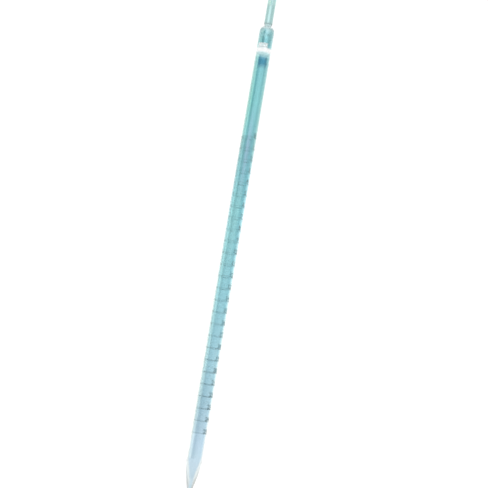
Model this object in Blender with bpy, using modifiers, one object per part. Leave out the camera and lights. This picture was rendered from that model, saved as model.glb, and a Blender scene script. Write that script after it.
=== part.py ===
"""A 25 mL glass graduated pipette: lengths of tubing fused end to end, with enamel fired onto them.

Metres, +Z up along the pipette's axis, origin at the centre of the jet's outlet. The side that
is read faces -Y. Every glass outline is turned about Z, and the enamel stands on the glass.
"""

from math import pi, radians, sqrt

import bpy
from mathutils import Vector
from mathutils.geometry import interpolate_bezier

MM = 0.001

# Heights above the jet's outlet
TOTAL_LENGTH = 450.0 * MM
SHOULDER_WELD = 421.9 * MM  # the suction tube is fused to the barrel's shoulder here
JET_WELD = 30.0 * MM  # the barrel is fused to the jet here
TAPER_TOP = 25.8 * MM  # the jet is a plain cylinder above this
BORE_TAPER_TOP = 29.0 * MM  # and its bore above this
WELD_LINE = 0.03 * MM  # what is left open between two lengths of glass, so that each stays its own solid

# The scale: the capacity and the length it is spread over set the bore
CAPACITY = 25e-6  # cubic metres
MILLILITRES = 25
SCALE_BOTTOM = 50.7 * MM  # the 25 mL line
SCALE_LENGTH = 265.6 * MM  # from the 25 mL line up to the zero line
LINE_SPACING = SCALE_LENGTH / MILLILITRES

# Tubing radii
BARREL_RADIUS = 6.8 * MM
BARREL_BORE = sqrt(CAPACITY / (pi * SCALE_LENGTH))
SUCTION_RADIUS = 3.85 * MM
SUCTION_BORE = 2.45 * MM
NECK_RADIUS = 3.05 * MM
NECK_BORE = 1.9 * MM
OUTLET_RADIUS = 1.45 * MM
OUTLET_BORE = 0.65 * MM

# Rounding of the glass
RIM_ROUND = 0.4 * MM
NECK_HEIGHT = 2.7 * MM
SHOULDER_HEIGHT = 5.0 * MM
BORE_SHOULDER_HEIGHT = 5.2 * MM

# Fired enamel
ENAMEL_LIFT = 0.03 * MM  # from the glass to the back of the enamel
ENAMEL_THICKNESS = 0.09 * MM
LINE_HEIGHT = 0.3 * MM
BAND_BOTTOM = 395.8 * MM
BAND_HEIGHT = 3.9 * MM
PANEL_BOTTOM = 399.9 * MM
PANEL_HEIGHT = 4.3 * MM
PANEL_START = radians(214)  # about Z, counted from +X towards +Y
PANEL_SWEEP = radians(80)

TURN_STEPS = 48
CURVE_POINTS = 9

GLASS = (0.50, 0.79, 0.815)
WHITE_ENAMEL = (0.93, 0.95, 0.95)
GREY_ENAMEL = (0.16, 0.27, 0.28)


def clear_scene():
    for old in list(bpy.data.objects):
        bpy.data.objects.remove(old, do_unlink=True)


def finish(name, colour, roughness, transmission=0.0):
    """A Principled material of one colour; transmission makes it glass."""
    material = bpy.data.materials.new(name)
    material.use_nodes = True
    shader = material.node_tree.nodes["Principled BSDF"]
    shader.inputs["Base Color"].default_value = (*colour, 1.0)
    shader.inputs["Roughness"].default_value = roughness
    shader.inputs["Metallic"].default_value = 0.0
    shader.inputs["Transmission Weight"].default_value = transmission
    material.diffuse_color = (*colour, 1.0)
    return material


def curve(start, start_handle, end_handle, end):
    """Points of a Bezier stretch of an outline, its two ends included."""
    corners = [Vector((radius, height, 0.0)) for radius, height in (start, start_handle, end_handle, end)]
    return [(point.x, point.y) for point in interpolate_bezier(*corners, CURVE_POINTS)]


def add_object(name, mesh, material, group):
    piece = bpy.data.objects.new(name, mesh)
    group.objects.link(piece)
    if not mesh.materials:
        mesh.materials.append(material)
    return piece


def turn(piece, sweep=2 * pi, steps=TURN_STEPS):
    """Turns the piece's outline about Z and shades the result smooth."""
    screw = piece.modifiers.new("Turn", "SCREW")
    screw.axis = "Z"
    screw.angle = sweep
    screw.steps = steps
    screw.render_steps = steps
    screw.use_merge_vertices = True
    screw.merge_threshold = 0.01 * MM
    screw.use_smooth_shade = True


def outline_mesh(name, outline, closed=True):
    """A mesh of edges in the XZ half-plane through (radius, height) points."""
    mesh = bpy.data.meshes.new(name)
    count = len(outline)
    edges = [(i, (i + 1) % count) for i in range(count if closed else count - 1)]
    mesh.from_pydata([(radius, 0.0, height) for radius, height in outline], edges, [])
    return mesh


def turned_glass(name, outside, inside, group):
    """A length of glass from its outer outline, top to bottom, and its bore, bottom to top."""
    glass = finish(f"{name}_glass", GLASS, 0.02, transmission=1.0)
    piece = add_object(name, outline_mesh(name, outside + inside), glass, group)
    turn(piece)
    return piece


def suction_tube(group):
    """The narrow tube that the filler grips: fire-polished rim above, drawn in to the weld below."""
    foot = SHOULDER_WELD + WELD_LINE
    neck_top = foot + NECK_HEIGHT
    outside = [
        (SUCTION_RADIUS - RIM_ROUND, TOTAL_LENGTH),
        (SUCTION_RADIUS - 0.29 * RIM_ROUND, TOTAL_LENGTH - 0.29 * RIM_ROUND),
        (SUCTION_RADIUS, TOTAL_LENGTH - RIM_ROUND),
    ]
    outside += curve(
        (SUCTION_RADIUS, neck_top),
        (SUCTION_RADIUS, neck_top - 0.4 * NECK_HEIGHT),
        (NECK_RADIUS, foot + 0.4 * NECK_HEIGHT),
        (NECK_RADIUS, foot),
    )
    inside = curve(
        (NECK_BORE, foot),
        (NECK_BORE, foot + 0.4 * NECK_HEIGHT),
        (SUCTION_BORE, neck_top - 0.4 * NECK_HEIGHT),
        (SUCTION_BORE, neck_top),
    )
    inside += [
        (SUCTION_BORE, TOTAL_LENGTH - RIM_ROUND),
        (SUCTION_BORE + 0.29 * RIM_ROUND, TOTAL_LENGTH - 0.29 * RIM_ROUND),
        (SUCTION_BORE + RIM_ROUND, TOTAL_LENGTH),
    ]
    return turned_glass("suction_tube", outside, inside, group)


def barrel_shoulder(group):
    """The barrel's upper end, rounded in to the weld."""
    foot = SHOULDER_WELD - BORE_SHOULDER_HEIGHT
    outside = curve(
        (NECK_RADIUS, SHOULDER_WELD),
        (NECK_RADIUS + 0.45 * (BARREL_RADIUS - NECK_RADIUS), SHOULDER_WELD - 0.15 * SHOULDER_HEIGHT),
        (BARREL_RADIUS, SHOULDER_WELD - 0.5 * SHOULDER_HEIGHT),
        (BARREL_RADIUS, SHOULDER_WELD - SHOULDER_HEIGHT),
    )
    outside.append((BARREL_RADIUS, foot))
    inside = curve(
        (BARREL_BORE, foot),
        (BARREL_BORE, foot + 0.5 * BORE_SHOULDER_HEIGHT),
        (NECK_BORE + 0.3 * (BARREL_BORE - NECK_BORE), SHOULDER_WELD - 0.2 * BORE_SHOULDER_HEIGHT),
        (NECK_BORE, SHOULDER_WELD),
    )
    return turned_glass("barrel_shoulder", outside, inside, group)


def barrel(group):
    """The straight measuring tube between the shoulder and the jet."""
    top = SHOULDER_WELD - BORE_SHOULDER_HEIGHT - WELD_LINE
    foot = JET_WELD + WELD_LINE
    outside = [(BARREL_RADIUS, top), (BARREL_RADIUS, foot)]
    inside = [(BARREL_BORE, foot), (BARREL_BORE, top)]
    return turned_glass("barrel", outside, inside, group)


def delivery_jet(group):
    """The drawn-down tip that the liquid runs out of, its wall thickest where it narrows."""
    outside = [(BARREL_RADIUS, JET_WELD)]
    outside += curve(
        (BARREL_RADIUS, TAPER_TOP),
        (0.91 * BARREL_RADIUS, 0.72 * TAPER_TOP),
        (0.59 * BARREL_RADIUS, 0.31 * TAPER_TOP),
        (OUTLET_RADIUS, 0.0),
    )
    inside = curve(
        (OUTLET_BORE, 0.0),
        (0.28 * BARREL_BORE, 0.64 * BORE_TAPER_TOP),
        (BARREL_BORE, 0.82 * BORE_TAPER_TOP),
        (BARREL_BORE, BORE_TAPER_TOP),
    )
    inside.append((BARREL_BORE, JET_WELD))
    return turned_glass("delivery_jet", outside, inside, group)


def enamel_ring_mesh(name, height):
    """The square-edged section of an enamel ring, its lower edge at height 0."""
    back = BARREL_RADIUS + ENAMEL_LIFT
    face = back + ENAMEL_THICKNESS
    return outline_mesh(name, [(face, height), (face, 0.0), (back, 0.0), (back, height)])


def enamel_ring(name, mesh, bottom, material, group):
    piece = add_object(name, mesh, material, group)
    piece.location.z = bottom
    turn(piece)
    return piece


def blank_panel(material, group):
    """The curved white rectangle above the band: an upright line swept about Z, then thickened outwards."""
    back = BARREL_RADIUS + ENAMEL_LIFT
    edge = outline_mesh("blank_panel", [(back, PANEL_HEIGHT), (back, 0.0)], closed=False)
    piece = add_object("blank_panel", edge, material, group)
    piece.location.z = PANEL_BOTTOM
    piece.rotation_euler.z = PANEL_START
    turn(piece, PANEL_SWEEP, round(TURN_STEPS * PANEL_SWEEP / (2 * pi)))
    thicken = piece.modifiers.new("Thicken", "SOLIDIFY")
    thicken.thickness = ENAMEL_THICKNESS
    thicken.offset = 1.0
    return piece


def build():
    clear_scene()
    group = bpy.data.collections.new("graduated_pipette")
    bpy.context.scene.collection.children.link(group)

    pieces = [suction_tube(group), barrel_shoulder(group), barrel(group), delivery_jet(group)]

    band_mesh = enamel_ring_mesh("colour_code_band", BAND_HEIGHT)
    band_white = finish("band_enamel", WHITE_ENAMEL, 0.35)
    pieces.append(enamel_ring("colour_code_band", band_mesh, BAND_BOTTOM, band_white, group))
    pieces.append(blank_panel(finish("panel_enamel", WHITE_ENAMEL, 0.45), group))

    grey = finish("graduation_enamel", GREY_ENAMEL, 0.4)
    line_mesh = enamel_ring_mesh("graduation_line", LINE_HEIGHT)
    for millilitre in range(MILLILITRES + 1):
        centre = SCALE_BOTTOM + (MILLILITRES - millilitre) * LINE_SPACING
        name = f"graduation_{millilitre:02d}_ml"
        pieces.append(enamel_ring(name, line_mesh, centre - LINE_HEIGHT / 2, grey, group))

    axis = bpy.data.objects.new("pipette_axis", None)
    group.objects.link(axis)
    for piece in pieces:
        piece.parent = axis


build()
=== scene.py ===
"""The looks of a 25 mL glass graduated pipette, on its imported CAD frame.

The glass is one fused, turned piece; the scale, band and panel are enamel fired onto its outside.
Heights are metres above the jet's outlet. The side that is read faces -Y, and angles about the
pipette are counted from there, positive towards +X.
"""

from math import cos, pi, radians, sin, sqrt

import bmesh
import bpy
from mathutils import Matrix, Vector
from mathutils.geometry import interpolate_bezier


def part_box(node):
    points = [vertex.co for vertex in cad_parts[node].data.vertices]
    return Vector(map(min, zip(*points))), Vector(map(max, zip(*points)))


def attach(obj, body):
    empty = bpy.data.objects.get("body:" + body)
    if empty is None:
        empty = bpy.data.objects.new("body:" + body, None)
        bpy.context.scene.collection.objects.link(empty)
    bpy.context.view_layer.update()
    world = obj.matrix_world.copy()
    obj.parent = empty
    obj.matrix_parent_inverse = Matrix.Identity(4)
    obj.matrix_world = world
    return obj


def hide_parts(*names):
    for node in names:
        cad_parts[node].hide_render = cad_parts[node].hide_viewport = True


MM = 0.001


# Glass dimensions that the nodes' boxes don't give
CAPACITY = 25e-6  # cubic metres
MILLILITRES = 25
SUCTION_BORE = 2.45 * MM
NECK_RADIUS = 3.05 * MM
NECK_BORE = 1.9 * MM
NECK_HEIGHT = 2.7 * MM
SHOULDER_HEIGHT = 5.0 * MM
TAPER_TOP = 25.8 * MM
BORE_TAPER_TOP = 29.0 * MM
OUTLET_RADIUS = 1.45 * MM
OUTLET_BORE = 0.65 * MM
OUTLET_ROUND = 0.2 * MM
WELD_SWELL = 0.12 * MM  # how far the glass swells out just below the weld
WELD_SWELL_DROP = 0.1 * MM
CURVE_POINTS = 16
JET_CURVE_POINTS = 24
GLASS_SEGMENTS = 128
TUBE_STEP = 9.0 * MM  # a straight tube is divided at about this height
GLASS_IOR = 1.47
CORD_SCALE = (900.0, 900.0, 9.0)  # of the noise that gives the cords, per metre
CORD_DETAIL = 2.0
CORD_STRENGTH = 0.15
BUMP_DEPTH = 0.02 * MM

# Enamel
PATCH_SCALE = (4000.0, 4000.0, 4000.0)  # of the noise in its colour, per metre
PANEL_PATCH_SCALE = (550.0, 550.0, 150.0)  # the panel is thinner and thicker in broad upright strokes
PATCH_DETAIL = 4.0
PATCH_RANGE = (0.35, 0.65)  # the noise levels where the enamel counts as thin and as thick
PIT_STRENGTH = 0.3
GLOSS_SPREAD = 0.1  # by which the roughness varies, either way
GLOW_REACH = 0.3 * MM
ENAMEL_GAP = 0.04 * MM
ENAMEL_THICKNESS = 0.06 * MM
LINE_HEIGHT = 0.3 * MM
SHORT_LINE_HEIGHT = 0.1 * MM
TENTHS = 10
RING_SEGMENTS = 96
HALF_SPAN = (-186.0, 54.0)  # degrees
TENTH_SPAN = (-156.0, 24.0)
PANEL_SPAN = (-56.0, 24.0)
PANEL_SEGMENTS = 24
NUMERAL_HEIGHT = 3.9 * MM
NUMERAL_BOLDNESS = 0.02  # added all round a stroke, at the size where a numeral is about 0.7 high
NUMERAL_ANGLE = 50.0  # degrees, at a numeral's middle
NUMERAL_LIFT = 0.3 * MM  # from a line up to the foot of its numeral
NUMERAL_SLICE = 0.3 * MM  # a numeral is cut into strips this wide before it is bent round the barrel
NUMERAL_CURVE_STEPS = 3
SAME_POINT = 1e-5  # at a numeral's default size
SAME_PLANE = 1e-8

# The camera, at the photograph's viewing angle
CAMERA_POINT = (0.0114, -1.0865, 0.0484)
CAMERA_PITCH = radians(9.0)
CAMERA_ROLL = radians(9.52)
LENS = 91.6  # millimetres, on the sensor below
SENSOR = 36.0
PIXEL_FILTER = 2.1  # pixels, as soft as a photograph made smaller


def grey(level):
    return (level, level, level)


# The studio's light, by elevation and then by direction round the pipette: degrees from straight
# behind it as the camera sees it, positive to the right, and how bright in red, green and blue.
# The glass gathers these into the dark and pale lines that run along it
SKY = (
    (
        -1,
        (
            (-20, (1.2, 1.2, 1.15)), (-12, (1.7, 1.6, 1.45)), (-7, (1.05, 1.05, 1.04)),
            (-4.6, (0.8, 0.86, 0.88)), (-2, (0.92, 0.95, 0.97)), (0, grey(1.08)), (4, grey(1.2)),
            (9, grey(1.12)), (14, grey(1.35)), (20, (1.1, 1.15, 1.2)),
        ),
    ),
    (
        3,
        (
            (-44, (1.25, 1.2, 1.2)), (-30, (1.0, 1.05, 1.05)), (-20, (1.45, 1.35, 1.25)),
            (-13, (2.7, 2.35, 2.05)), (-7, (1.5, 1.38, 1.3)), (-4.6, (1.08, 1.14, 1.15)),
            (-3, (1.18, 1.2, 1.2)), (0, grey(1.3)), (3.5, (1.5, 1.4, 1.38)), (6.5, (1.35, 1.28, 1.22)),
            (12, (1.45, 1.4, 1.4)), (20, (1.1, 1.2, 1.2)), (30, (1.0, 1.1, 1.2)), (44, grey(1.15)),
        ),
    ),
    (
        11,
        (
            (-44, (1.25, 1.25, 1.2)), (-30, (0.9, 1.0, 1.05)), (-20, (1.05, 1.2, 1.2)),
            (-13, (2.45, 2.25, 2.15)), (-7, grey(1.15)), (-4.6, (0.82, 0.98, 0.96)),
            (-3, (1.15, 1.18, 1.18)), (0, grey(1.3)), (2, (1.22, 1.26, 1.26)),
            (3.5, (0.92, 1.08, 1.12)), (6.5, (0.7, 0.9, 0.95)), (12, (0.95, 1.1, 1.2)),
            (20, (1.05, 1.15, 1.2)), (30, (0.95, 1.1, 1.2)), (44, (1.15, 1.2, 1.2)),
        ),
    ),
    (
        13.5,
        (
            (-44, grey(1.15)), (-30, grey(0.85)), (-20, grey(0.95)), (-13, (2.2, 1.95, 1.8)),
            (-7, (1.0, 1.08, 1.08)), (-4.6, (0.65, 0.85, 0.9)), (-3, (1.0, 1.02, 1.08)),
            (-1.4, (1.8, 1.2, 1.42)), (0.4, (1.6, 1.15, 1.35)), (2.5, (1.0, 1.0, 1.08)),
            (6.5, (0.85, 0.95, 0.98)), (12, grey(1.25)), (20, grey(0.95)), (30, grey(0.85)),
            (44, grey(1.15)),
        ),
    ),
    (
        15.5,
        (
            (-44, (1.25, 1.2, 1.05)), (-30, grey(0.8)), (-20, grey(0.9)), (-13, (2.25, 1.95, 1.55)),
            (-8.5, (1.4, 1.4, 1.3)), (-7, (0.95, 1.1, 1.05)), (-4.6, (0.4, 0.68, 0.68)),
            (-3, (0.85, 1.0, 1.0)), (-1.5, (1.28, 1.3, 1.3)), (3.5, grey(1.35)), (6, (0.9, 0.97, 0.97)),
            (9, (1.0, 1.05, 1.05)), (13, (1.7, 1.5, 1.45)), (20, grey(0.9)), (30, grey(0.8)),
            (44, grey(1.15)),
        ),
    ),
    (
        17.6,
        (
            (-44, (1.25, 1.2, 1.05)), (-30, grey(0.8)), (-20, grey(0.9)), (-13, (2.15, 1.85, 1.55)),
            (-8.5, (1.3, 1.35, 1.25)), (-7, (0.85, 1.0, 1.0)), (-4.6, (0.42, 0.75, 0.8)),
            (-3, (0.85, 1.05, 1.1)), (-1.5, (1.28, 1.3, 1.3)), (3.5, grey(1.3)),
            (6, (0.75, 0.85, 0.85)), (9, (0.8, 0.9, 0.9)), (13, (1.45, 1.4, 1.35)), (20, grey(0.9)),
            (30, grey(0.8)), (44, grey(1.15)),
        ),
    ),
    (
        18.3,
        (
            (-44, (1.12, 1.05, 0.95)), (-30, grey(0.7)), (-20, grey(0.8)), (-13, (1.9, 1.65, 1.4)),
            (-8.5, (1.3, 1.35, 1.25)), (-7, (0.85, 1.0, 0.98)), (-4.6, (0.12, 0.4, 0.42)),
            (-3, (0.55, 0.75, 0.8)), (-1.5, (1.25, 1.25, 1.28)), (0.5, (1.6, 1.5, 1.55)),
            (2, (1.3, 1.25, 1.25)), (3.5, grey(1.1)), (6, (0.75, 0.85, 0.85)), (9, (0.8, 0.9, 0.9)),
            (13, (1.3, 1.25, 1.2)), (20, grey(0.8)), (30, grey(0.7)), (44, grey(1.02)),
        ),
    ),
    (
        18.6,
        (
            (-44, (1.12, 1.05, 0.95)), (-30, grey(0.7)), (-20, grey(0.8)), (-13, (1.9, 1.65, 1.4)),
            (-7, (0.95, 1.0, 0.98)), (-4.6, (0.25, 0.5, 0.5)), (-3, (0.8, 0.85, 0.85)),
            (-0.6, (2.2, 2.0, 2.0)), (0.5, (2.1, 1.9, 1.9)), (2, (1.15, 1.2, 1.2)),
            (3.5, (1.0, 1.05, 1.05)), (6, (0.95, 1.05, 1.05)), (9, (0.9, 1.0, 1.0)), (20, grey(0.8)),
            (30, grey(0.7)), (44, grey(1.02)),
        ),
    ),
    (
        18.95,
        (
            (-30, grey(0.75)), (-13, (1.5, 1.3, 1.2)), (-7, (1.2, 1.1, 1.1)), (-4.6, (1.1, 1.0, 1.0)),
            (-1.5, (2.1, 1.7, 1.65)), (0.5, (0.8, 0.75, 0.75)), (2, (0.6, 0.55, 0.55)),
            (3.5, (0.65, 0.62, 0.62)), (6, (0.95, 0.9, 0.9)), (20, grey(0.8)), (30, grey(0.7)),
        ),
    ),
    (
        19.3,
        (
            (-30, grey(0.7)), (-17, (0.8, 0.93, 0.9)), (-10, (1.05, 1.12, 1.1)), (-7, grey(1.5)),
            (0.5, grey(1.5)), (3.5, (0.88, 0.95, 0.95)), (16, (0.72, 0.88, 0.88)), (30, grey(0.7)),
        ),
    ),
)
SIDES = ((60, 1.0), (180, 1.05))  # degrees to either side, and how bright, in every row of SKY
UPPER_SKY = ((26, 0.6), (42, 0.6), (60, 1.9))  # a darker belt all round, and a soft box overhead
SKY_STRENGTH = 2.5  # the colour ramps stop at 1, so levels are given to them as shares of this
BACKDROP_LEVEL = 1.2  # the plain white that the camera itself sees
FLOOR_RADIUS = 1.0
FLOOR_SEGMENTS = 64
FLOOR_SCALE = (40.0, 40.0, 40.0)  # of the noise in its colour, per metre
FLOOR_DETAIL = 2.0
FLOOR_SHADES = (0.42, 0.46)
FLOOR_DROP = 0.3 * MM
FLOOR_GLOW = 0.65  # the floor is a white light table
FLOOR_ROUGHNESS = 0.9

# Colours that one pass through a glass surface leaves, by height. Most stops are the glass's tint; the pale
# stops at the band and at the neck are painted light.
GLASS_TOP = 450.0 * MM
OUTER_TINT_AND_PAINTED_LIGHT = (
    (0.0, (0.62, 0.67, 0.68)),
    (24.0, (0.68, 0.74, 0.74)),
    (36.0, (0.78, 0.84, 0.84)),
    (45.0, (0.76, 0.84, 0.84)),
    (78.0, (0.70, 0.86, 0.86)),
    (175.0, (0.60, 0.83, 0.82)),
    (250.0, (0.46, 0.76, 0.80)),
    (280.0, (0.41, 0.71, 0.74)),
    (310.0, (0.39, 0.69, 0.67)),
    (350.0, (0.38, 0.69, 0.67)),
    (391.5, (0.38, 0.67, 0.69)),
    # Painted light: from 391.5 to 401 mm the glass is made nearly clear, so the white band's back and the
    # glass just below it read as lit where the band's shade falls
    (396.0, (0.72, 0.86, 0.87)),
    (400.0, (0.76, 0.90, 0.90)),
    (401.0, (0.43, 0.76, 0.78)),
    (414.0, (0.46, 0.76, 0.78)),
    # Painted highlight: the pale ring from 417.5 to 425 mm, at the shoulder and neck, stands in for the
    # glints there
    (417.5, (0.55, 0.80, 0.81)),
    (420.0, (0.80, 0.94, 0.95)),
    (422.0, (0.60, 0.80, 0.82)),
    (425.0, (0.44, 0.68, 0.66)),
    (450.0, (0.42, 0.68, 0.65)),
)
BORE_TINT_AND_PAINTED_LIGHT = (
    (0.0, (0.66, 0.79, 0.88)),
    (24.0, (0.67, 0.80, 0.92)),
    (33.0, (0.60, 0.76, 0.88)),
    (41.0, (0.56, 0.70, 0.84)),
    (78.0, (0.43, 0.58, 0.69)),
    (175.0, (0.40, 0.62, 0.71)),
    (250.0, (0.51, 0.70, 0.70)),
    (310.0, (0.50, 0.68, 0.76)),
    (350.0, (0.48, 0.69, 0.74)),
    (391.5, (0.48, 0.69, 0.74)),
    # Painted light: from 391.5 to 401 mm the bore is made nearly clear, so the white band's back and the
    # glass just below it read as lit where the band's shade falls
    (396.0, (0.90, 0.96, 0.97)),
    (400.0, (0.95, 0.98, 0.98)),
    (401.0, (0.42, 0.61, 0.65)),
    (412.0, (0.40, 0.58, 0.61)),
    (417.0, (0.52, 0.68, 0.70)),
    (421.0, (1.00, 0.98, 0.98)),
    (425.0, (1.00, 0.94, 0.97)),
    (450.0, (1.00, 0.94, 0.97)),
)

# The deep blue patch below the band, in the reading side of the bore
BLUE_PATCH = (0.015, 0.145, 0.29)
BLUE_HEIGHTS = ((380.0, 0.0), (384.0, 1.0), (390.0, 1.0), (393.0, 0.0))
BLUE_CENTRE = radians(7.0)
BLUE_HALF_SPAN = radians(43.0)
BLUE_EDGE = radians(8.0)


def node_heights(name):
    low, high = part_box(name)
    return low.z, high.z


def node_radius(name):
    low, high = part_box(name)
    return (high.x - low.x) / 2


def curve(start, start_handle, end_handle, end, points=CURVE_POINTS):
    """(radius, height) points of a Bezier stretch of an outline, its two ends included."""
    corners = [Vector((radius, height, 0.0)) for radius, height in (start, start_handle, end_handle, end)]
    return [(point.x, point.y) for point in interpolate_bezier(*corners, points)]


def straight(radius, start, end):
    """The points inside a straight stretch of tube, without its two ends."""
    steps = max(1, round(abs(end - start) / TUBE_STEP))
    return [(radius, start + (end - start) * step / steps) for step in range(1, steps)]


def arc(centre, size, start, end, points=7):
    """Points of a circular arc in an outline, from one angle to another in degrees, 0 pointing outwards."""
    angles = [radians(start + (end - start) * step / (points - 1)) for step in range(points)]
    return [(centre[0] + size * cos(angle), centre[1] + size * sin(angle)) for angle in angles]


def lathe(name, outline, segments, span=None, slots=None):
    """A mesh turned about Z from a closed (radius, height) outline.

    With a span of two angles it stops there and its ends are closed. slots gives the material
    slot of each stretch of the outline."""
    start, end = span or (-180.0, 180.0)
    angles = [radians(start + (end - start) * step / segments) for step in range(segments + bool(span))]
    mesh = bmesh.new()
    rings = [[mesh.verts.new((r * sin(a), -r * cos(a), z)) for r, z in outline] for a in angles]
    pairs = list(zip(rings, rings[1:]))
    if not span:
        pairs.append((rings[-1], rings[0]))
    count = len(outline)
    for here, after in pairs:
        for low in range(count):
            high = (low + 1) % count
            face = mesh.faces.new((here[low], here[high], after[high], after[low]))
            face.smooth = True
            face.material_index = slots[low] if slots else 0
    if span:
        mesh.faces.new(rings[0])
        mesh.faces.new(rings[-1])
    bmesh.ops.recalc_face_normals(mesh, faces=mesh.faces)
    data = bpy.data.meshes.new(name)
    mesh.to_mesh(data)
    mesh.free()
    return data


def join_meshes(name, meshes):
    """One mesh holding all of these, which are then removed."""
    joined = bmesh.new()
    for mesh in meshes:
        joined.from_mesh(mesh)
        bpy.data.meshes.remove(mesh)
    data = bpy.data.meshes.new(name)
    joined.to_mesh(data)
    joined.free()
    return data


def show(name, mesh, materials, replaced=()):
    """Puts a piece of the pipette in the scene, on its one body."""
    piece = bpy.data.objects.new(name, mesh)
    bpy.context.scene.collection.objects.link(piece)
    for material in materials:
        mesh.materials.append(material)
    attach(piece, "root")
    if replaced:
        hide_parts(*replaced)
    return piece


# Glass


def glass_outside():
    """The outer side of the fused glass, from the middle of the rim down to the end of the jet."""
    suction_radius = node_radius("suction_tube")
    barrel_radius = node_radius("barrel")
    top = node_heights("suction_tube")[1]
    weld = node_heights("barrel_shoulder")[1]
    wall = suction_radius - SUCTION_BORE
    middle = (suction_radius - wall / 2, top - wall / 2)
    neck_top = weld + NECK_HEIGHT
    shoulder_foot = weld - SHOULDER_HEIGHT

    points = arc(middle, wall / 2, 90, 0)
    points += straight(suction_radius, top - wall / 2, neck_top)
    points += curve(
        (suction_radius, neck_top),
        (suction_radius, neck_top - 0.45 * NECK_HEIGHT),
        (NECK_RADIUS, weld + 0.5 * NECK_HEIGHT),
        (NECK_RADIUS, weld + 0.12 * NECK_HEIGHT),
    )
    points += curve(
        (NECK_RADIUS + WELD_SWELL, weld - WELD_SWELL_DROP),
        (NECK_RADIUS + 0.45 * (barrel_radius - NECK_RADIUS), weld - 0.15 * SHOULDER_HEIGHT),
        (barrel_radius, shoulder_foot + 0.5 * SHOULDER_HEIGHT),
        (barrel_radius, shoulder_foot),
    )
    points += straight(barrel_radius, shoulder_foot, TAPER_TOP)
    points += curve(
        (barrel_radius, TAPER_TOP),
        (0.91 * barrel_radius, 0.72 * TAPER_TOP),
        (0.59 * barrel_radius, 0.31 * TAPER_TOP),
        (OUTLET_RADIUS, OUTLET_ROUND),
        points=JET_CURVE_POINTS,
    )
    points.append((OUTLET_RADIUS - OUTLET_ROUND, 0.0))
    return points


def glass_bore():
    """The inner side of the fused glass, from the end of the jet up to just short of the rim's middle."""
    bore = sqrt(CAPACITY / (pi * scale_length()))
    suction_radius = node_radius("suction_tube")
    top = node_heights("suction_tube")[1]
    foot, weld = node_heights("barrel_shoulder")
    height = weld - foot
    wall = suction_radius - SUCTION_BORE
    middle = (suction_radius - wall / 2, top - wall / 2)
    neck_top = weld + NECK_HEIGHT

    points = [(OUTLET_BORE + OUTLET_ROUND / 2, 0.0)]
    points += curve(
        (OUTLET_BORE, OUTLET_ROUND / 2),
        (0.28 * bore, 0.64 * BORE_TAPER_TOP),
        (bore, 0.82 * BORE_TAPER_TOP),
        (bore, BORE_TAPER_TOP),
        points=JET_CURVE_POINTS,
    )
    points += straight(bore, BORE_TAPER_TOP, foot)
    points += curve(
        (bore, foot),
        (bore, foot + 0.5 * height),
        (NECK_BORE + 0.3 * (bore - NECK_BORE), weld - 0.2 * height),
        (NECK_BORE, weld),
    )
    points += curve(
        (NECK_BORE, weld + 0.1 * NECK_HEIGHT),
        (NECK_BORE, weld + 0.5 * NECK_HEIGHT),
        (SUCTION_BORE, neck_top - 0.45 * NECK_HEIGHT),
        (SUCTION_BORE, neck_top),
    )
    points += straight(SUCTION_BORE, neck_top, top - wall / 2)
    points += arc(middle, wall / 2, 180, 105, points=6)
    return points


def scale_length():
    return line_height(0) - line_height(MILLILITRES)


def line_height(millilitre):
    low, high = node_heights(f"graduation_{millilitre:02d}_ml")
    return (low + high) / 2


def add_glass():
    outside, bore = glass_outside(), glass_bore()
    slots = [0] * len(outside) + [1] * len(bore)
    mesh = lathe("fused_glass", outside + bore, GLASS_SEGMENTS, slots=slots)
    materials = [glass("outer_glass", OUTER_TINT_AND_PAINTED_LIGHT), glass("bore_glass", BORE_TINT_AND_PAINTED_LIGHT, BLUE_PATCH)]
    nodes = ("suction_tube", "barrel_shoulder", "barrel", "delivery_jet")
    piece = show("fused_glass", mesh, materials, nodes)
    # Clear glass keeps no light from the enamel's back
    piece.visible_diffuse = False
    piece.visible_shadow = False


# Enamel pieces


def enamel_outline(bottom, height):
    """The section of a fired enamel line: flat on the glass, a little narrower on its face."""
    back = node_radius("barrel") + ENAMEL_GAP
    face = back + ENAMEL_THICKNESS
    bevel = ENAMEL_THICKNESS / 2
    return [
        (back, bottom + height),
        (face - bevel / 2, bottom + height),
        (face, bottom + height - bevel),
        (face, bottom + bevel),
        (face - bevel / 2, bottom),
        (back, bottom),
    ]


def enamel_line(name, centre, height, span=None):
    segments = RING_SEGMENTS
    if span:
        segments = round(RING_SEGMENTS * (span[1] - span[0]) / 360)
    return lathe(name, enamel_outline(centre - height / 2, height), segments, span)


def add_scale(material):
    """A full ring at each millilitre, in its node's place, and the shorter lines between."""
    for millilitre in range(MILLILITRES + 1):
        node = f"graduation_{millilitre:02d}_ml"
        mesh = enamel_line(node, line_height(millilitre), LINE_HEIGHT)
        show(f"line_{millilitre:02d}_ml", mesh, [material], [node])

    spacing = scale_length() / MILLILITRES
    halves, tenths = [], []
    for tenth in range(1, MILLILITRES * TENTHS):
        height = line_height(0) - spacing * tenth / TENTHS
        if tenth % TENTHS == 0:
            continue
        if tenth % (TENTHS // 2) == 0:
            halves.append(enamel_line("half", height, SHORT_LINE_HEIGHT, HALF_SPAN))
        else:
            tenths.append(enamel_line("tenth", height, SHORT_LINE_HEIGHT, TENTH_SPAN))
    show("half_ml_lines", join_meshes("half_ml_lines", halves), [material])
    show("tenth_ml_lines", join_meshes("tenth_ml_lines", tenths), [material])


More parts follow.
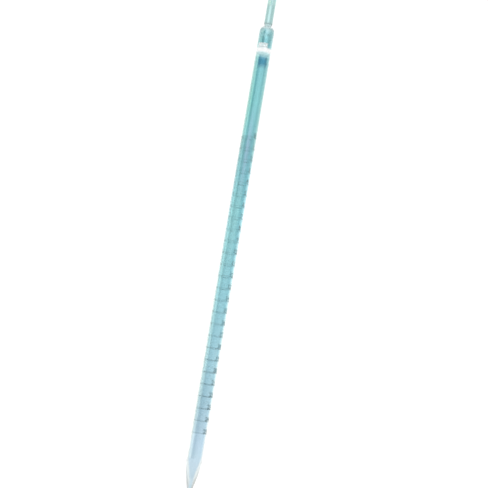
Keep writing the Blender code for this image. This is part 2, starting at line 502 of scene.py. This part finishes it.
def flat_numeral(text):
    """The filled outline of a number, centred on X and standing on X at the default size, as a bmesh."""
    writing = bpy.data.curves.new("numeral", "FONT")
    writing.body = text
    writing.align_x = "CENTER"
    writing.resolution_u = NUMERAL_CURVE_STEPS
    writing.offset = NUMERAL_BOLDNESS
    carrier = bpy.data.objects.new("numeral", writing)
    filled = bpy.data.meshes.new_from_object(carrier)
    bpy.data.objects.remove(carrier)
    bpy.data.curves.remove(writing)
    flat = bmesh.new()
    flat.from_mesh(filled)
    bpy.data.meshes.remove(filled)
    bmesh.ops.remove_doubles(flat, verts=flat.verts, dist=SAME_POINT)
    return flat


def bend_round_barrel(flat, size, foot):
    """Sizes a flat numeral, cuts it into upright strips and lays them on the barrel."""
    bmesh.ops.scale(flat, vec=(size, size, size), verts=flat.verts)
    half_width = max(abs(vertex.co.x) for vertex in flat.verts)
    cuts = int(half_width / NUMERAL_SLICE)
    for cut in range(-cuts, cuts + 1):
        bmesh.ops.bisect_plane(
            flat,
            geom=flat.verts[:] + flat.edges[:] + flat.faces[:],
            dist=SAME_PLANE,
            plane_co=(cut * NUMERAL_SLICE, 0.0, 0.0),
            plane_no=(1.0, 0.0, 0.0),
        )
    radius = node_radius("barrel") + ENAMEL_GAP
    for vertex in flat.verts:
        angle = radians(NUMERAL_ANGLE) + vertex.co.x / radius
        vertex.co = (radius * sin(angle), -radius * cos(angle), foot + vertex.co.y)


def add_numerals(material):
    """The numbers 0 to 25, each just above its line and towards its right-hand end."""
    sample = flat_numeral("0")
    heights = [vertex.co.y for vertex in sample.verts]
    size = NUMERAL_HEIGHT / (max(heights) - min(heights))
    sample.free()
    every = bmesh.new()
    for millilitre in range(MILLILITRES + 1):
        flat = flat_numeral(str(millilitre))
        bend_round_barrel(flat, size, line_height(millilitre) + NUMERAL_LIFT)
        bent = bpy.data.meshes.new("numeral")
        flat.to_mesh(bent)
        flat.free()
        every.from_mesh(bent)
        bpy.data.meshes.remove(bent)
    mesh = bpy.data.meshes.new("scale_numerals")
    every.to_mesh(mesh)
    every.free()
    piece = show("scale_numerals", mesh, [material])
    thicken = piece.modifiers.new("Thicken", "SOLIDIFY")
    thicken.thickness = ENAMEL_THICKNESS
    thicken.offset = 1.0


def add_band(material):
    bottom, top = node_heights("colour_code_band")
    mesh = lathe("colour_code_band", enamel_outline(bottom, top - bottom), RING_SEGMENTS)
    show("white_band", mesh, [material], ["colour_code_band"])


def add_panel(material):
    bottom, top = node_heights("blank_panel")
    mesh = lathe("blank_panel", enamel_outline(bottom, top - bottom), PANEL_SEGMENTS, PANEL_SPAN)
    show("print_panel", mesh, [material], ["blank_panel"])


# Materials


def new_material(name):
    material = bpy.data.materials.new(name)
    material.use_nodes = True
    return material, material.node_tree, material.node_tree.nodes["Principled BSDF"]


def connect(tree, value, socket):
    """Gives a node's input a value: another node's output, a number or a colour."""
    if isinstance(value, bpy.types.NodeSocket):
        tree.links.new(value, socket)
    else:
        socket.default_value = value


def calculate(tree, operation, *values):
    step = tree.nodes.new("ShaderNodeMath")
    step.operation = operation
    for value, socket in zip(values, step.inputs):
        connect(tree, value, socket)
    return step.outputs[0]


def rescale(tree, value, start, end, low=0.0, high=1.0):
    """Maps a value from start..end to low..high, and holds it there beyond them."""
    step = tree.nodes.new("ShaderNodeMapRange")
    for given, socket in zip((value, start, end, low, high), step.inputs):
        connect(tree, given, socket)
    return step.outputs[0]


def ramp_colour(tree, value, stops):
    ramp = tree.nodes.new("ShaderNodeValToRGB")
    elements = ramp.color_ramp.elements
    while len(elements) < len(stops):
        elements.new(1.0)
    for element, (position, colour) in zip(elements, stops):
        element.position = position
        element.color = (*colour, 1.0)
    connect(tree, value, ramp.inputs[0])
    return ramp.outputs["Color"]


def mix_colours(tree, share, first, second):
    """Blends two colours by the share of the second."""
    mix = tree.nodes.new("ShaderNodeMix")
    mix.data_type = "RGBA"
    connect(tree, share, mix.inputs["Factor"])
    for name, colour in (("A", first), ("B", second)):
        socket = next(each for each in mix.inputs if each.name == name and each.type == "RGBA")
        connect(tree, colour, socket)
    return next(each for each in mix.outputs if each.type == "RGBA")


def noise(tree, place, scale, detail):
    """Noise over a place, with a scale for each of the three directions."""
    scaled = tree.nodes.new("ShaderNodeVectorMath")
    scaled.operation = "MULTIPLY"
    tree.links.new(place, scaled.inputs[0])
    scaled.inputs[1].default_value = scale
    texture = tree.nodes.new("ShaderNodeTexNoise")
    texture.inputs["Scale"].default_value = 1.0
    texture.inputs["Detail"].default_value = detail
    tree.links.new(scaled.outputs[0], texture.inputs["Vector"])
    return texture.outputs["Fac"]


def bump(tree, height, strength, shader):
    step = tree.nodes.new("ShaderNodeBump")
    step.inputs["Strength"].default_value = strength
    step.inputs["Distance"].default_value = BUMP_DEPTH
    tree.links.new(height, step.inputs["Height"])
    tree.links.new(step.outputs["Normal"], shader.inputs["Normal"])


def object_place(tree):
    return tree.nodes.new("ShaderNodeTexCoord").outputs["Object"]


def coordinates(tree, place):
    parts = tree.nodes.new("ShaderNodeSeparateXYZ")
    tree.links.new(place, parts.inputs[0])
    return parts.outputs


def height_colour(tree, height, stops):
    """A colour by height on the pipette, from (millimetres, colour) stops."""
    share = rescale(tree, height, 0.0, GLASS_TOP)
    return ramp_colour(tree, share, [(level * MM / GLASS_TOP, colour) for level, colour in stops])


def glass(name, tint_and_painted_light, patch=None):
    """Clear drawn glass, tinted by height (the tint stops also hold painted light), with the faint
    lengthwise cords of drawn tubing.
    """
    material, tree, shader = new_material(name)
    shader.inputs["Transmission Weight"].default_value = 1.0
    shader.inputs["Roughness"].default_value = 0.0
    shader.inputs["IOR"].default_value = GLASS_IOR
    place = object_place(tree)
    colour = height_colour(tree, coordinates(tree, place)[2], tint_and_painted_light)
    if patch:
        colour = mix_colours(tree, patch_mask(tree, place), colour, (*patch, 1.0))
    tree.links.new(colour, shader.inputs["Base Color"])
    bump(tree, noise(tree, place, CORD_SCALE, CORD_DETAIL), CORD_STRENGTH, shader)
    return material


def patch_mask(tree, place):
    """1 inside the blue patch and 0 outside it, fading at its edges."""
    across, depth, height = coordinates(tree, place)
    angle = calculate(tree, "ARCTAN2", across, calculate(tree, "MULTIPLY", depth, -1.0))
    offset = calculate(tree, "ABSOLUTE", calculate(tree, "SUBTRACT", angle, BLUE_CENTRE))
    within = rescale(tree, offset, BLUE_HALF_SPAN - BLUE_EDGE, BLUE_HALF_SPAN + BLUE_EDGE, 1.0, 0.0)
    levels = [(level, grey(share)) for level, share in BLUE_HEIGHTS]
    return calculate(tree, "MULTIPLY", within, height_colour(tree, height, levels))


def enamel(name, thin, thick, roughness, scale=PATCH_SCALE, glow=0.0, clearness=0.0):
    """Fired enamel: its colour varies between where it lies thin and thick, over a faintly pitted face.

    scale is the size of that variation, glow how much light spreads through the enamel to its back,
    and clearness how much passes straight on."""
    material, tree, shader = new_material(name)
    shader.inputs["Subsurface Weight"].default_value = glow
    shader.inputs["Subsurface Radius"].default_value = (1.0, 1.0, 1.0)
    shader.inputs["Subsurface Scale"].default_value = GLOW_REACH
    shader.inputs["Transmission Weight"].default_value = clearness
    patches = noise(tree, object_place(tree), scale, PATCH_DETAIL)
    colour = ramp_colour(tree, patches, list(zip(PATCH_RANGE, (thin, thick))))
    tree.links.new(colour, shader.inputs["Base Color"])
    gloss = rescale(tree, patches, 0.0, 1.0, roughness - GLOSS_SPREAD, roughness + GLOSS_SPREAD)
    tree.links.new(gloss, shader.inputs["Roughness"])
    bump(tree, patches, PIT_STRENGTH, shader)
    return material


def floor_finish():
    material, tree, shader = new_material("white_floor")
    shader.inputs["Roughness"].default_value = FLOOR_ROUGHNESS
    shader.inputs["Emission Color"].default_value = (1.0, 1.0, 1.0, 1.0)
    shader.inputs["Emission Strength"].default_value = FLOOR_GLOW
    grain = noise(tree, object_place(tree), FLOOR_SCALE, FLOOR_DETAIL)
    colour = ramp_colour(tree, grain, [(share, grey(shade)) for share, shade in enumerate(FLOOR_SHADES)])
    tree.links.new(colour, shader.inputs["Base Color"])
    return material


# Studio


def add_floor():
    disc = bmesh.new()
    bmesh.ops.create_circle(disc, cap_ends=True, segments=FLOOR_SEGMENTS, radius=FLOOR_RADIUS)
    mesh = bpy.data.meshes.new("floor")
    disc.to_mesh(mesh)
    disc.free()
    mesh.materials.append(floor_finish())
    floor = bpy.data.objects.new("floor", mesh)
    floor.location.z = -FLOOR_DROP
    bpy.context.scene.collection.objects.link(floor)


def sky_row(tree, direction, stops):
    """The colour of the sky at one elevation, by direction in radians."""
    left = [(-angle, grey(level)) for angle, level in reversed(SIDES)]
    right = [(angle, grey(level)) for angle, level in SIDES]
    levels = [
        (0.5 + angle / 360, [part / SKY_STRENGTH for part in level])
        for angle, level in [*left, *stops, *right]
    ]
    return ramp_colour(tree, rescale(tree, direction, -pi, pi), levels)


def add_sky():
    """A studio whose lighter and darker parts the glass picks up. The camera itself sees plain white."""
    world = bpy.data.worlds.new("studio")
    bpy.context.scene.world = world
    world.use_nodes = True
    tree = world.node_tree
    across, ahead, up = coordinates(tree, tree.nodes.new("ShaderNodeTexCoord").outputs["Generated"])
    direction = calculate(tree, "ARCTAN2", across, ahead)
    elevation = calculate(tree, "ARCSINE", up)
    rows = [(height, sky_row(tree, direction, stops)) for height, stops in SKY]
    rows += [(height, (*grey(level / SKY_STRENGTH), 1.0)) for height, level in UPPER_SKY]
    colour = rows[0][1]
    for (lower, _), (upper, row) in zip(rows, rows[1:]):
        share = rescale(tree, elevation, radians(lower), radians(upper))
        colour = mix_colours(tree, share, colour, row)
    seen = tree.nodes.new("ShaderNodeLightPath").outputs["Is Camera Ray"]
    colour = mix_colours(tree, seen, colour, (*grey(BACKDROP_LEVEL / SKY_STRENGTH), 1.0))
    background = tree.nodes["Background"]
    background.inputs["Strength"].default_value = SKY_STRENGTH
    tree.links.new(colour, background.inputs["Color"])


def add_camera():
    data = bpy.data.cameras.new("camera")
    data.lens = LENS
    data.sensor_width = SENSOR
    camera = bpy.data.objects.new("camera", data)
    bpy.context.scene.collection.objects.link(camera)
    upright = Matrix.Rotation(pi / 2 + CAMERA_PITCH, 4, "X")
    camera.matrix_world = Matrix.Translation(CAMERA_POINT) @ upright @ Matrix.Rotation(CAMERA_ROLL, 4, "Z")
    bpy.context.scene.camera = camera


def corners(box):
    return [list(corner) for corner in box]


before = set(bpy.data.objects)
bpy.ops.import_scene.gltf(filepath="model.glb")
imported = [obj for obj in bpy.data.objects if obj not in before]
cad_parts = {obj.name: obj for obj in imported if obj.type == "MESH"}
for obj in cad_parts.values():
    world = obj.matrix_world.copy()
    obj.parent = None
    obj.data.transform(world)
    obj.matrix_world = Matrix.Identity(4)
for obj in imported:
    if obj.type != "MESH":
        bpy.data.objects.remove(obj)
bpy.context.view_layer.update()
bpy.context.scene.view_settings.view_transform = "Standard"
bpy.context.scene.cycles.denoising_input_passes = "RGB"
bpy.context.scene.cycles.filter_width = PIXEL_FILTER

add_glass()
scale_enamel = enamel("scale_enamel", (0.11, 0.19, 0.20), (0.06, 0.12, 0.13), 0.4)
add_scale(scale_enamel)
add_numerals(scale_enamel)
add_band(enamel("band_enamel", (0.76, 0.80, 0.80), (0.86, 0.88, 0.88), 0.35, glow=0.8))
panel_enamel = enamel(
    "panel_enamel",
    (0.72, 0.90, 0.92),
    (0.98, 1.00, 1.00),
    0.45,
    scale=PANEL_PATCH_SCALE,
    glow=0.3,
    clearness=0.35,
)
add_panel(panel_enamel)
add_floor()
add_sky()
add_camera()
